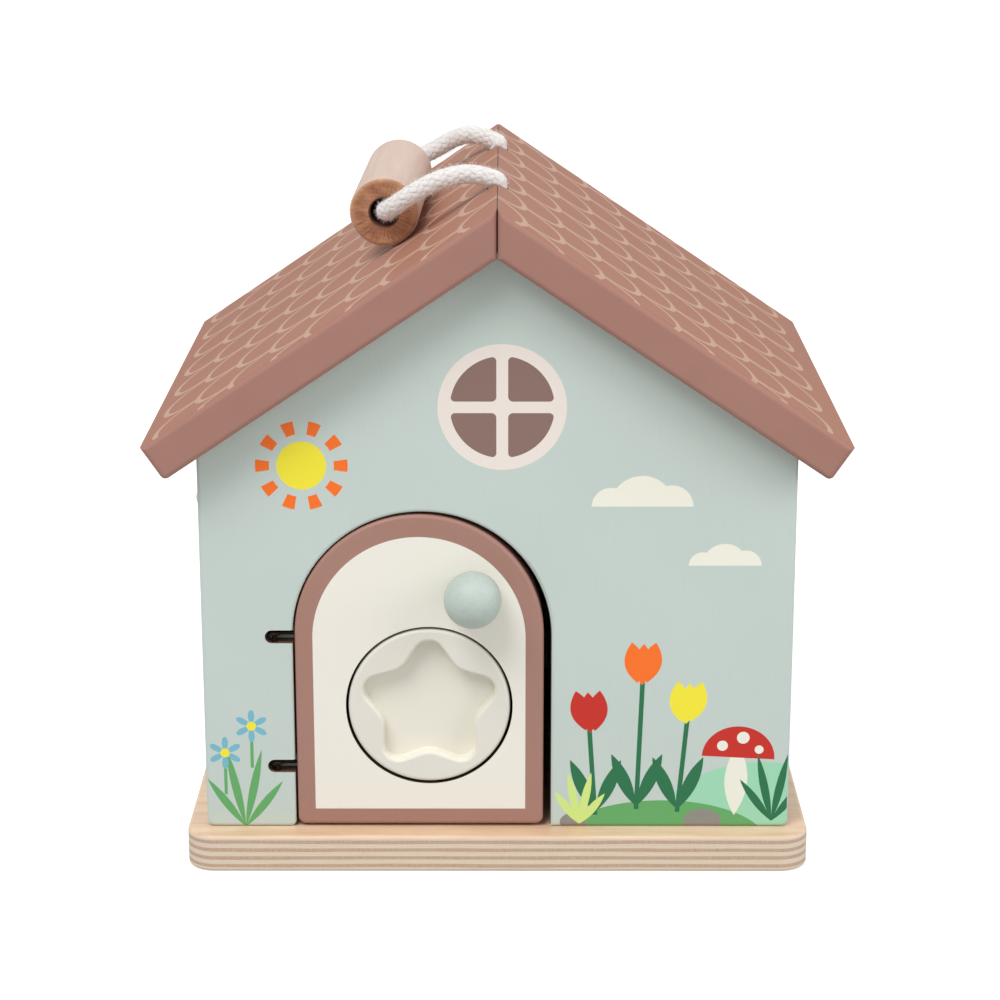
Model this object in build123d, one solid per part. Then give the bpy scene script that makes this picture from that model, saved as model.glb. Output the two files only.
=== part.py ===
from build123d import *
import math
import os

# A wooden activity house on a plywood base. An arched door stands in the front wall on two screw eyes that
# turn on a hidden upright rod. A disc with a star recess turns in the door, and a rope with a wooden grip
# hangs over the ridge as the handle. All lengths are in millimetres. The origin is the centre of the base's
# underside, +X is the house's right seen from the front, +Y is its back and +Z is up.

# Boards and walls
board = 12.0
roof_board = 12.5
body_width = 184.5
body_depth = 162.0
wall_edge = 1.2
wall_corner = 2.0

# Base, set by how far it stands out beyond the walls
base_lip_sides = 6.25
base_lip_ends = 8.0
base_corner = 9.0
base_edge = 1.0

# Roof, set by how far it hangs out beyond the walls
ridge_height = 212.0
roof_pitch = 34.0
eave_overhang = 15.7
gable_overhang = 11.0
roof_edge = 1.8
mitre_gap = 0.3

# Doorway, placed from the front wall's left edge and the base's top
doorway_width = 80.6
hinge_stile = 28.45
doorway_rise = 104.1

# Door, held in the doorway by its gaps
gap_hinge = 0.5
gap_latch = 2.3
gap_top = 0.8
gap_foot = 0.8
door_edge = 1.2
door_corner = 2.5

# Hinge, its eyes placed from the base's top and from where the doorway's arch springs
rod_diameter = 1.8
rod_above = 10.0
rod_play = 0.08
eye_wire = 1.3
eye_cover = 0.2
eye_bite = 9.0
eye_lift = 0.7
pivot_inset = 5.9
slot_length = 8.75
slot_height = 4.4
slot_depth = 6.0
lower_hinge_rise = 20.5
upper_hinge_drop = 0.2

# Dial, placed from the door's middle and foot
dial_diameter = 50.8
dial_gap = 0.8
dial_shift = 3.0
dial_rise = 40.0
dial_edge = 1.2
dial_play = 0.4
star_tip = 25.2
star_notch = 14.9
star_tip_round = 4.7
star_notch_round = 8.0
star_depth = 5.0
star_edge = 1.0
star_points = 5

# Bar behind the dial, its screws and the dial's own screw
bridge_width = 16.0
bridge_thickness = 6.0
bridge_lap = 9.0
bridge_edge = 1.0
bridge_bite = 8.0
small_shank = 3.0
small_head = 6.0
axle_shank = 3.0
axle_play = 0.08
axle_bite = 5.0
axle_head = 7.0
axle_head_height = 2.2
washer_diameter = 10.0
washer_thickness = 0.8
washer_play = 0.3

# Knob, placed from the dial's axis
knob_diameter = 17.8
knob_seat = 8.0
knob_beside_dial = 13.8
knob_over_dial = 37.6
knob_bite = 9.0

# Peg in the left wall, placed from the eave and the middle of the wall
peg_diameter = 8.0
peg_proud = 10.0
peg_bite = 8.0
peg_below_eave = 36.7

# Hidden dowels and the screws under the base
dowel_diameter = 6.0
dowel_length = 24.0
dowel_bite = 8.0
dowel_chamfer = 0.8
wall_dowel_height_shares = (0.12, 0.50, 0.88)
roof_dowel_slope_shares = (0.30, 0.72)
base_screw_shank = 3.5
base_screw_head = 7.5
base_screw_length = 34.0
base_screw_sink = 0.4
gable_screw_inset = 13.8
pier_screw_inset = 9.0
fit_gap = 0.05

# Rope, its holes through the ridge, its knots and the grip that lies on the left slope
rope_diameter = 6.0
rope_hole = 7.0
rope_hole_spread = 82.0
pivot_rise = 0.2
knot_diameter = 12.6
tail_end = 9.0
running_gap = 0.3
grip_length = 74.0
grip_diameter = 22.0
grip_bore = 9.0
grip_edge = 1.6
grip_mouth_edge = 0.6
grip_down_slope = 34.15
grip_turn = 2.1
grip_shift = 0.5

# One overrun serves every cut, and one share limits every rounding by its board
overrun = 1.0
round_limit_share = 0.45

# Levels and places worked out from the sizes above
pitch = math.radians(roof_pitch)
base_top = board
half_width = body_width / 2
half_depth = body_depth / 2
base_width = body_width + 2 * base_lip_sides
base_depth = body_depth + 2 * base_lip_ends
wall_front = -half_depth
gable_back = wall_front + board
underside_ridge = ridge_height - roof_board / math.cos(pitch)
eave_height = underside_ridge - half_width * math.tan(pitch)
inner_eave_height = underside_ridge - (half_width - board) * math.tan(pitch)
rafter = (half_width + eave_overhang) / math.cos(pitch)
half_roof = half_depth + gable_overhang

doorway_left = hinge_stile - half_width
doorway_right = doorway_left + doorway_width
doorway_top = base_top + doorway_rise
doorway_spring = doorway_top - doorway_width / 2

door_left = doorway_left + gap_hinge
door_right = doorway_right - gap_latch
door_foot = base_top + gap_foot
door_top = doorway_top - gap_top
door_middle = (door_left + door_right) / 2
door_back = wall_front + board

ring_inner = rod_diameter / 2 + rod_play
ring_middle = ring_inner + eye_wire / 2
ring_outer = ring_inner + eye_wire
pivot_x = doorway_left - pivot_inset
pivot_y = wall_front + eye_cover + ring_outer
hinge_heights = (base_top + lower_hinge_rise, doorway_spring - upper_hinge_drop)

dial_x = door_middle + dial_shift
dial_z = door_foot + dial_rise
dial_back = door_back - dial_play
hole_radius = dial_diameter / 2 + dial_gap
bridge_back = door_back + bridge_thickness
washer_front = bridge_back + washer_play
washer_back = washer_front + washer_thickness

knob_x = dial_x + knob_beside_dial
knob_z = dial_z + knob_over_dial
knob_radius = knob_diameter / 2
knob_reach = math.sqrt(knob_radius**2 - (knob_seat / 2) ** 2)

rope_radius = rope_diameter / 2
pivot_z = ridge_height + pivot_rise
grip_radius = grip_diameter / 2
grip_lift = grip_radius + running_gap

# The rope's route from the front ridge hole, through the grip's bore, to the back ridge hole
rope_route = [
    (0.0, -41.0, 212.2),
    (-7.4, -42.8, 216.0),
    (-17.2, -45.2, 214.9),
    (-25.8, -46.2, 209.9),
    (-32.4, -44.4, 204.8),
    (-35.2, -38.8, 202.0),
    (-35.2, -31.0, 202.1),
    (-35.4, -17.0, 201.6),
    (-34.6, 5.0, 202.1),
    (-33.8, 20.0, 202.9),
    (-33.4, 30.5, 203.4),
    (-32.6, 39.2, 203.9),
    (-29.0, 45.6, 205.6),
    (-22.0, 48.4, 208.6),
    (-14.6, 47.4, 213.4),
    (-7.2, 43.8, 215.9),
    (0.0, 41.0, 212.2),
]
run_share = 0.45


def rounding(wanted, thickness):
    """Radius of a rounded edge, limited by the board it is on."""
    return min(wanted, round_limit_share * thickness)


def front_plane(y):
    """Drawing plane seen from the front at depth y: its x is the house's X and its y is height."""
    return Plane(origin=(0, y, 0), x_dir=(1, 0, 0), z_dir=(0, -1, 0))


def slab(face, y_front, y_back):
    """Board cut to an outline drawn from the front, between two depths."""
    return extrude(front_plane(y_front) * face, amount=y_front - y_back)


def rod_y(radius, x, z, y_front, y_back):
    """Round bar along Y."""
    disc = Pos(x, z) * Circle(radius)
    return slab(disc, y_front, y_back)


def rod_z(radius, x, y, z_low, z_high):
    """Round bar along Z."""
    return extrude(Pos(x, y, z_low) * Circle(radius), amount=z_high - z_low)


def arched(left, right, foot, top):
    """Outline of a doorway: straight sides under a half circle."""
    middle = (left + right) / 2
    spring = top - (right - left) / 2
    sides = Polyline((left, spring), (left, foot), (right, foot), (right, spring))
    crown = ThreePointArc((right, spring), (middle, top), (left, spring))
    return make_face(sides + crown)


def edges_across(solid, x, z, reach):
    """Edges along Y whose middle lies within reach of the point (x, z)."""
    found = ShapeList()
    for edge in solid.edges().filter_by(Axis.Y):
        centre = edge.center()
        if math.hypot(centre.X - x, centre.Z - z) < reach:
            found.append(edge)
    return found


def bevelled_pin(radius, length, bevel):
    """Dowel along Z from the origin, with a bevel at both ends."""
    half = [(0, 0), (radius - bevel, 0), (radius, bevel), (radius, length - bevel)]
    half += [(radius - bevel, length), (0, length)]
    return revolve(Plane.XZ * make_face(Polyline(*half, close=True)), axis=Axis.Z)


def countersunk(length, shank, head, slack=0.0):
    """Countersunk screw, or its hole, with its head at the origin and its shank up Z."""
    cone = (head - shank) / 2
    point = shank / 2
    half = [(0, 0), (head / 2 + slack, 0), (shank / 2 + slack, cone)]
    half += [(shank / 2 + slack, length - point + slack), (0, length + slack)]
    return revolve(Plane.XZ * make_face(Polyline(*half, close=True)), axis=Axis.Z)


def base_screw_places():
    """Places of the screws that hold the walls down, under both gables and both side walls."""
    gable_y = half_depth - board / 2
    side_x = half_width - board / 2
    far_x = half_width - gable_screw_inset
    gable_places = (-far_x, doorway_right + pier_screw_inset, far_x)
    places = [(x, y) for x in gable_places for y in (-gable_y, gable_y)]
    return places + [(-side_x, 0), (side_x, 0)]


def base_plate():
    """Ply board with rounded corners, eased edges and countersunk screw holes."""
    plan = Rectangle(base_width, base_depth)
    plate = extrude(fillet(plan.vertices(), base_corner), amount=board)
    rims = plate.faces().sort_by(Axis.Z)
    plate = fillet(rims[0].edges() + rims[-1].edges(), rounding(base_edge, board))
    reach = base_screw_sink + base_screw_length
    hole = countersunk(reach, base_screw_shank, base_screw_head, fit_gap)
    mouth = rod_z(base_screw_head / 2 + fit_gap, 0, 0, -overrun, base_screw_sink)
    for x, y in base_screw_places():
        plate -= Pos(x, y, base_screw_sink) * hole
        plate -= Pos(x, y, 0) * mouth
    return plate


def base_screws():
    """Steel wood screws from under the base into the walls."""
    screw = countersunk(base_screw_length, base_screw_shank, base_screw_head)
    return [Pos(x, y, base_screw_sink) * screw for x, y in base_screw_places()]


def screw_pilots():
    """Holes that the base screws fill in the walls."""
    pilot = countersunk(base_screw_length, base_screw_shank, base_screw_head, fit_gap)
    return [Pos(x, y, base_screw_sink) * pilot for x, y in base_screw_places()]


def gable_outline():
    """Outline of a gable wall, up to the underside of the roof."""
    points = [
        (-half_width, base_top),
        (half_width, base_top),
        (half_width, eave_height),
        (0, underside_ridge),
        (-half_width, eave_height),
    ]
    return make_face(Polyline(*points, close=True))


def rounded_at(outline, places, radius):
    """Outline with its corners at the given places rounded."""
    corners = [outline.vertices().sort_by_distance((x, z, 0))[0] for x, z in places]
    return fillet(corners, radius)


def gable(outline, feet, side):
    """Gable wall with round feet and eased outer edges. Side is -1 at the front and 1 at the back."""
    outline = rounded_at(outline, feet, rounding(wall_corner, board))
    depths = sorted((side * half_depth, side * (half_depth - board)))
    wall = slab(outline, *depths)
    outer = wall.faces().sort_by(Axis.Y)[0 if side < 0 else -1]
    rim = outer.edges().filter_by(lambda edge: edge.center().Z < eave_height)
    return fillet(rim, rounding(wall_edge, board))


def hinge_slot(z):
    """Slot from the doorway's edge into the wall's face, with a round far end."""
    end_x = doorway_left - slot_length + slot_height / 2
    centre_x = (end_x + doorway_left + overrun) / 2
    length = doorway_left + overrun - end_x
    outline = Pos(centre_x, z) * Rectangle(length, slot_height)
    outline += Pos(end_x, z) * Circle(slot_height / 2)
    return slab(outline, wall_front - overrun, wall_front + slot_depth)


def front_wall():
    """Gable with the arched doorway, two hinge slots and the bore of the hinge rod."""
    outline = gable_outline() - arched(doorway_left, doorway_right, base_top - overrun, doorway_top)
    feet = [(-half_width, base_top), (doorway_left, base_top), (half_width, base_top)]
    wall = gable(outline, feet, -1)
    for z in hinge_heights:
        wall -= hinge_slot(z)
    bore_top = hinge_heights[1] + rod_above
    wall -= rod_z(rod_diameter / 2 + fit_gap, pivot_x, pivot_y, base_top - overrun, bore_top)
    return cut_all(wall, screw_pilots() + wall_dowel_pins(fit_gap) + roof_dowel_pins(fit_gap))


def back_wall():
    """Plain gable."""
    wall = gable(gable_outline(), [(-half_width, base_top), (half_width, base_top)], 1)
    return cut_all(wall, screw_pilots() + wall_dowel_pins(fit_gap) + roof_dowel_pins(fit_gap))


def side_wall(side):
    """Board between the gables, its top bevelled to the pitch. Side is -1 on the left and 1 on the right."""
    inner = half_width - board
    points = [
        (side * half_width, base_top),
        (side * half_width, eave_height),
        (side * inner, inner_eave_height),
        (side * inner, base_top),
    ]
    wall = slab(make_face(Polyline(*points, close=True)), gable_back, -gable_back)
    outer = edges_across(wall, side * half_width, base_top, board / 2)
    wall = fillet(outer, rounding(wall_corner, board))
    if side < 0:
        socket = -half_width + peg_bite
        bore = Plane(origin=(socket, 0, eave_height - peg_below_eave), z_dir=(-1, 0, 0))
        wall -= extrude(bore * Circle(peg_diameter / 2 + fit_gap), amount=peg_bite + overrun)
    return cut_all(wall, screw_pilots() + wall_dowel_pins(fit_gap))


def roof_side(side):
    """Roof board, mitred at the ridge and square at the eave, with half of each rope hole."""
    down = (side * math.cos(pitch), -math.sin(pitch))
    inward = (-side * math.sin(pitch), -math.cos(pitch))
    seam = side * mitre_gap / 2
    seam_drop = mitre_gap / 2 * math.tan(pitch)
    eave = (down[0] * rafter, ridge_height + down[1] * rafter)
    points = [
        (seam, ridge_height - seam_drop),
        eave,
        (eave[0] + inward[0] * roof_board, eave[1] + inward[1] * roof_board),
        (seam, underside_ridge - seam_drop),
    ]
    roof = slab(make_face(Polyline(*points, close=True)), -half_roof, half_roof)
    lower_eave = edges_across(roof, points[2][0], points[2][1], roof_board / 2)
    roof = fillet(lower_eave, rounding(roof_edge, roof_board))
    for end in (0, -1):
        cut_end = roof.faces().sort_by(Axis.Y)[end]
        roof = fillet(cut_end.edges(), rounding(roof_edge, roof_board))
    for y in (-rope_hole_spread / 2, rope_hole_spread / 2):
        roof -= rod_z(rope_hole / 2, 0, y, eave[1], ridge_height + overrun)
    return cut_all(roof, roof_dowel_pins(fit_gap))


def wall_dowel_pins(slack=0.0):
    """Dowels across the joints of the gables and the side walls, or their holes with some slack."""
    x = half_width - board / 2
    pin = bevelled_pin(dowel_diameter / 2 + slack, dowel_length + 2 * slack, dowel_chamfer)
    lift = eave_height - base_top
    pins = []
    for side_x in (-x, x):
        for share in wall_dowel_height_shares:
            z = base_top + share * lift
            front = gable_back - dowel_bite - slack
            pins.append(Pos(side_x, front, z) * Rot(-90, 0, 0) * pin)
            pins.append(Pos(side_x, -front, z) * Rot(90, 0, 0) * pin)
    return pins


def roof_dowel_pins(slack=0.0):
    """Dowels square to the slope, from the gables' top edges into the roof boards, or their holes."""
    pin = bevelled_pin(dowel_diameter / 2 + slack, dowel_length + 2 * slack, dowel_chamfer)
    slope = half_width / math.cos(pitch)
    gable_y = half_depth - board / 2
    below = dowel_length - dowel_bite + slack
    pins = []
    for side in (-1, 1):
        for share in roof_dowel_slope_shares:
            x = side * share * slope * math.cos(pitch)
            z = underside_ridge - share * slope * math.sin(pitch)
            x -= side * below * math.sin(pitch)
            z -= below * math.cos(pitch)
            for y in (-gable_y, gable_y):
                pins.append(Pos(x, y, z) * Rot(0, side * roof_pitch, 0) * pin)
    return pins


def cut_all(solid, tools):
    """Cut those tools that reach the solid."""
    box = solid.bounding_box()
    near = [tool for tool in tools if overlaps(box, tool.bounding_box())]
    return solid - near if near else solid


def overlaps(one, other):
    """Whether two bounding boxes share space."""
    low = zip(one.min, other.max)
    high = zip(other.min, one.max)
    return all(a < b for a, b in low) and all(a < b for a, b in high)


def hinge_rod():
    """Steel rod that stands on the base in the front wall's bore and passes through both slots."""
    return rod_z(rod_diameter / 2, pivot_x, pivot_y, base_top, hinge_heights[1] + rod_above)


def side_peg():
    """Turned peg with a domed end, glued into a blind hole in the left wall."""
    radius = peg_diameter / 2
    shoulder = peg_bite + peg_proud - radius
    peg = rod_z(radius, 0, 0, 0, shoulder) + Pos(0, 0, shoulder) * Sphere(radius)
    seat = Plane(origin=(-half_width + peg_bite, 0, eave_height - peg_below_eave), z_dir=(-1, 0, 0))
    return seat * peg


def rope_tail(side):
    """Rope end in a ridge hole, knotted under the roof. Side is -1 at the front and 1 at the back."""
    y = side * rope_hole_spread / 2
    knot_radius = knot_diameter / 2
    knot_z = underside_ridge - (knot_radius + running_gap) / math.cos(pitch)
    top = pivot_z - rope_radius - running_gap
    tail = rod_z(rope_radius, 0, y, knot_z - knot_radius - tail_end, top)
    return tail + Pos(0, y, knot_z) * Sphere(knot_radius)


def door_panel():
    """Arched board with the dial's hole, the knob's hole and the pilots of eyes and screws."""
    outline = arched(door_left, door_right, door_foot, door_top)
    feet = outline.vertices().sort_by(Axis.Y)[:2]
    panel = slab(fillet(feet, door_corner), wall_front, door_back)
    for end in (0, -1):
        panel = fillet(panel.faces().sort_by(Axis.Y)[end].edges(), rounding(door_edge, board))
    panel -= rod_y(hole_radius, dial_x, dial_z, wall_front - overrun, door_back + overrun)
    panel -= rod_y(small_shank / 2 + fit_gap, knob_x, knob_z, wall_front - overrun, door_back + overrun)
    for z in hinge_heights:
        panel -= eye_shank(z, fit_gap)
    return cut_all(panel, bridge_screw_set(fit_gap))


def eye_shank(z, slack=0.0):
    """Straight shank of a screw eye, from its ring into the door's edge."""
    reach = door_left - pivot_x + eye_bite - ring_middle
    start = Plane(origin=(pivot_x + ring_middle, pivot_y, z + eye_lift), z_dir=(1, 0, 0))
    return extrude(start * Circle(eye_wire / 2 + slack), amount=reach + slack)


def hinge_eye(z):
    """Screw eye: a wire ring round the rod and a shank in the door's edge."""
    ring = Pos(pivot_x, pivot_y, z + eye_lift) * Torus(ring_middle, eye_wire / 2)
    bore = rod_z(ring_inner, pivot_x, pivot_y, z + eye_lift - eye_wire, z + eye_lift + eye_wire)
    return ring + (eye_shank(z) - bore)


def star_outline():
    """Star with rounded tips and notches, one tip up."""
    step = 180 / star_points
    points = []
    for index in range(2 * star_points):
        reach = star_tip if index % 2 == 0 else star_notch
        angle = math.radians(90 + index * step)
        points.append((reach * math.cos(angle), reach * math.sin(angle)))
    star = make_face(Polyline(*points, close=True))
    middle = (star_tip + star_notch) / 2
    tips = star.vertices().filter_by(lambda corner: math.hypot(corner.X, corner.Y) > middle)
    star = fillet(tips, star_tip_round)
    inner = star.vertices().sort_by(lambda corner: math.hypot(corner.X, corner.Y))
    return fillet(inner[:star_points], star_notch_round)


def star_dial():
    """Disc flush with the door's face, with a finger recess shaped like a star."""
    disc = rod_y(dial_diameter / 2, dial_x, dial_z, wall_front, dial_back)
    rims = disc.faces().sort_by(Axis.Y)
    disc = fillet(rims[0].edges() + rims[-1].edges(), rounding(dial_edge, board))
    star = Pos(dial_x, dial_z) * star_outline()
    disc -= slab(star, wall_front - overrun, wall_front + star_depth)
    mouth = disc.faces().sort_by(Axis.Y)[0].edges()
    mouth = mouth.filter_by(lambda edge: from_dial(edge.center()) < dial_diameter / 2 - dial_edge * 2)
    disc = fillet(mouth, rounding(star_edge, star_depth))
    bore_front = dial_back - axle_bite - fit_gap
    return disc - rod_y(axle_shank / 2 + fit_gap, dial_x, dial_z, bore_front, dial_back + overrun)


def from_dial(point):
    """Distance of a point from the dial's axis."""
    return math.hypot(point.X - dial_x, point.Z - dial_z)


def dial_bridge():
    """Upright bar across the dial's hole, screwed to the back of the door, that carries the dial's screw."""
    length = 2 * (hole_radius + bridge_lap)
    plan = Pos(dial_x, dial_z) * Rectangle(bridge_width, length)
    bar = slab(plan, door_back, bridge_back)
    back_rim = bar.faces().sort_by(Axis.Y)[-1].edges()
    bar = fillet(back_rim, rounding(bridge_edge, bridge_thickness))
    bar -= rod_y(axle_shank / 2 + axle_play, dial_x, dial_z, door_back - overrun, bridge_back + overrun)
    return cut_all(bar, bridge_screw_set(fit_gap))


def bridge_screw_set(slack=0.0):
    """Two countersunk screws through the bar's ends into the door, or their holes with some slack."""
    screw = countersunk(bridge_thickness + bridge_bite, small_shank, small_head, slack)
    reach = hole_radius + bridge_lap / 2
    places = [(dial_x, dial_z - reach), (dial_x, dial_z + reach)]
    return [Pos(x, bridge_back, z) * Rot(90, 0, 0) * screw for x, z in places]


def dial_screw():
    """Screw that turns with the dial, its head behind the bar and its end in the dial's back."""
    shank = rod_y(axle_shank / 2, dial_x, dial_z, dial_back - axle_bite, washer_back)
    head = rod_y(axle_head / 2, dial_x, dial_z, washer_back, washer_back + axle_head_height)
    crown = head.faces().sort_by(Axis.Y)[-1].edges()
    return shank + fillet(crown, rounding(axle_head_height, axle_head_height))


def dial_washer():
    """Washer between the bar and the screw's head."""
    disc = rod_y(washer_diameter / 2, dial_x, dial_z, washer_front, washer_back)
    return disc - rod_y(axle_shank / 2, dial_x, dial_z, washer_front - overrun, washer_back + overrun)


def door_knob():
    """Turned ball with a small flat seat against the door's face and a blind hole for its screw."""
    centre_y = wall_front - knob_reach
    ball = Pos(knob_x, centre_y, knob_z) * Sphere(knob_radius)
    ball -= rod_y(knob_radius, knob_x, knob_z, wall_front, wall_front + knob_radius)
    return ball - rod_y(small_shank / 2 + fit_gap, knob_x, knob_z, wall_front - knob_bite, wall_front + overrun)


def knob_screw():
    """Screw from the back of the door into the knob."""
    shank = rod_y(small_shank / 2, knob_x, knob_z, wall_front - knob_bite + fit_gap, door_back)
    head = rod_y(small_head / 2, knob_x, knob_z, door_back, door_back + small_shank / 2)
    crown = head.faces().sort_by(Axis.Y)[-1].edges()
    return shank + fillet(crown, rounding(small_shank, small_shank / 2))


def grip_plane():
    """Plane at the grip's middle, its z along the grip from front to back."""
    x = -grip_down_slope * math.cos(pitch) - grip_lift * math.sin(pitch)
    z = ridge_height - grip_down_slope * math.sin(pitch) + grip_lift * math.cos(pitch)
    turn = math.radians(grip_turn)
    up_slope = (math.cos(pitch), math.sin(pitch))
    along = (math.sin(turn) * up_slope[0], math.cos(turn), math.sin(turn) * up_slope[1])
    middle = Vector(x, 0, z) + Vector(*along) * grip_shift
    return Plane(origin=middle, z_dir=along)


def grip():
    """Turned beech tube with rounded ends, bored for the rope."""
    tube = Cylinder(grip_radius, grip_length)
    ends = tube.edges().filter_by(GeomType.CIRCLE)
    wood = grip_radius - grip_bore / 2
    tube = fillet(ends, rounding(grip_edge, wood))
    tube -= Cylinder(grip_bore / 2, grip_length + 2 * overrun)
    mouths = tube.edges().filter_by(GeomType.CIRCLE)
    mouths = mouths.filter_by(lambda edge: edge.radius < grip_bore)
    tube = fillet(mouths.filter_by(lambda edge: edge.radius < grip_radius - grip_edge), rounding(grip_mouth_edge, wood))
    return grip_plane() * tube


def rope():
    """Free stretch of the rope, from pivot to pivot, with round ends in the ridge holes."""
    points = [Vector(*point) for point in rope_route]
    radii = []
    for before, corner, after in zip(points, points[1:], points[2:]):
        into = corner - before
        out = after - corner
        half_turn = math.radians(into.get_angle(out) / 2)
        radii.append(run_share * min(into.length, out.length) / math.tan(half_turn))
    path = FilletPolyline(*points, radius=radii)
    section = Plane(origin=path @ 0, z_dir=path % 0) * Circle(rope_radius)
    tube = sweep(section, path=path)
    print("rope radii", [round(radius, 1) for radius in radii])
    print("rope length", round(path.length, 1), "volume share", round(tube.volume / (section.area * path.length), 4))
    return tube + Pos(*rope_route[0]) * Sphere(rope_radius) + Pos(*rope_route[-1]) * Sphere(rope_radius)


NODES = {
    "base_plate": base_plate,
    "front_wall": front_wall,
    "back_wall": back_wall,
    "left_wall": lambda: side_wall(-1),
    "right_wall": lambda: side_wall(1),
    "roof_board_left": lambda: roof_side(-1),
    "roof_board_right": lambda: roof_side(1),
    "wall_dowels": wall_dowel_pins,
    "roof_dowels": roof_dowel_pins,
    "base_screws": base_screws,
    "hinge_rod": hinge_rod,
    "side_peg": side_peg,
    "rope_tail_front": lambda: rope_tail(-1),
    "rope_tail_back": lambda: rope_tail(1),
    "door_panel": door_panel,
    "door_knob": door_knob,
    "knob_screw": knob_screw,
    "hinge_eye_lower": lambda: hinge_eye(hinge_heights[0]),
    "hinge_eye_upper": lambda: hinge_eye(hinge_heights[1]),
    "dial_bridge": dial_bridge,
    "bridge_screws": bridge_screw_set,
    "star_dial": star_dial,
    "dial_screw": dial_screw,
    "dial_washer": dial_washer,
    "rope": rope,
    "grip": grip,
}

os.makedirs("parts", exist_ok=True)
for name, make in NODES.items():
    made = make()
    shape = Compound(made) if isinstance(made, list) else made
    export_step(shape, f"parts/{name}.step")

print("door pivot", round(pivot_x, 3), round(pivot_y, 3))
print("dial axis", round(dial_x, 3), round(dial_z, 3))
print("handle pivot height", round(pivot_z, 3))
print("grip axis", grip_plane().origin, grip_plane().z_dir)
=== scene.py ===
import bpy
import math
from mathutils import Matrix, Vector


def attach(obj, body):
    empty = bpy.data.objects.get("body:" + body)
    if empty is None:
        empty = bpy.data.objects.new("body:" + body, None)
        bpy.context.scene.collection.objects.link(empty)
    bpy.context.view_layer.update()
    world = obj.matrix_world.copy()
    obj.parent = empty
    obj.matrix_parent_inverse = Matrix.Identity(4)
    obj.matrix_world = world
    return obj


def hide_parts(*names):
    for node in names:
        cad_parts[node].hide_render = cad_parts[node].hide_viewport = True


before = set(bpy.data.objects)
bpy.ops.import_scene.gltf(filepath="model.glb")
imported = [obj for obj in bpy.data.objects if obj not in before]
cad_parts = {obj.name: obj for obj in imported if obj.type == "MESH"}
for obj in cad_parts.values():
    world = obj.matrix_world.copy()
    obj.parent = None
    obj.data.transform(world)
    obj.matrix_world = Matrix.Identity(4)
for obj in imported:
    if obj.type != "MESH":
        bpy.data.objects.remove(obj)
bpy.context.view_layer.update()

# The view. The house is seen square on to the gable with the door, from a little above the ridge, through a
# long lens. Daylight comes from all round. A wide lamp at the upper left, towards the front, gives the soft
# shade at the right of the knob and the grip, and a weaker one at the right opens that shade.
VIEW_FROM = (0.001927, -0.86710, 0.34507)
VIEW_DOWN = 0.278729
VIEW_TURN = 0.00141407
SENSOR_WIDTH, LENS = 36.0, 95.83
DAYLIGHT = 0.5
HOUSE_MIDDLE = (0, 0, 0.1)
camera = bpy.data.objects.new("camera", bpy.data.cameras.new("camera"))
camera.data.sensor_width, camera.data.lens = SENSOR_WIDTH, LENS
camera.location = VIEW_FROM
camera.rotation_euler = (math.pi / 2 - VIEW_DOWN, 0.0, VIEW_TURN)
bpy.context.scene.collection.objects.link(camera)
bpy.context.scene.camera = camera
bpy.context.scene.view_settings.view_transform = "Standard"


def lamp(name, place, aim, size, power):
    """A square soft lamp at a place, in metres, facing the point that it aims at."""
    data = bpy.data.lights.new(name, "AREA")
    data.size, data.energy = size, power
    made = bpy.data.objects.new(name, data)
    made.location = place
    made.rotation_euler = (Vector(aim) - Vector(place)).to_track_quat("-Z", "Y").to_euler()
    bpy.context.scene.collection.objects.link(made)


lamp("window_lamp", (-0.6, -0.9, 1.5), HOUSE_MIDDLE, 0.9, 20.4)
lamp("side_lamp", (1.2, -0.5, 0.7), HOUSE_MIDDLE, 0.9, 7.5)


class Wire:
    """A socket in a node tree. A sum on it adds a Math node, & takes the lesser of two masks and | the greater."""

    def __init__(self, work, socket):
        self.work, self.socket = work, socket

    def __getitem__(self, name):
        return Wire(self.work, self.socket.node.outputs[name])

    def of(self, operation, *others):
        return self.work.node("ShaderNodeMath", {"operation": operation}, dict(enumerate((self, *others))))

    def _sum(operation, turned=False):
        def made(self, other=0.0):
            pair = (other, self) if turned else (self, other)
            return self.work.node("ShaderNodeMath", {"operation": operation}, dict(enumerate(pair)))

        return made

    __add__ = __radd__ = _sum("ADD")
    __mul__ = __rmul__ = _sum("MULTIPLY")
    __sub__, __rsub__ = _sum("SUBTRACT"), _sum("SUBTRACT", True)
    __truediv__, __rtruediv__ = _sum("DIVIDE"), _sum("DIVIDE", True)
    __pow__, __mod__, __floor__ = _sum("POWER"), _sum("FLOORED_MODULO"), _sum("FLOOR")
    __lt__, __gt__ = _sum("LESS_THAN"), _sum("GREATER_THAN")
    __and__, __or__, __abs__ = _sum("MINIMUM"), _sum("MAXIMUM"), _sum("ABSOLUTE")


class Work:
    """A node tree that is filled node by node."""

    def __init__(self, tree):
        self.tree = tree

    def node(self, kind, settings={}, feeds={}, out=0):
        """Adds a node: its settings first, then what feeds its sockets, and gives back one of its outputs."""
        new = self.tree.nodes.new(kind)
        for key, value in settings.items():
            setattr(new, key, value)
        for key, value in feeds.items():
            for one in value if isinstance(value, list) else [value]:
                if isinstance(one, Wire):
                    self.tree.links.new(one.socket, new.inputs[key])
                else:
                    new.inputs[key].default_value = one
        return Wire(self, new.outputs[out])


def shade(code):
    """A colour as it is seen on a screen, such as "BACAC2", as the light values that a shader takes."""
    parts = [int(code[i : i + 2], 16) / 255 for i in (0, 2, 4)]
    return tuple(c / 12.92 if c <= 0.04045 else ((c + 0.055) / 1.055) ** 2.4 for c in parts) + (1.0,)


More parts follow.
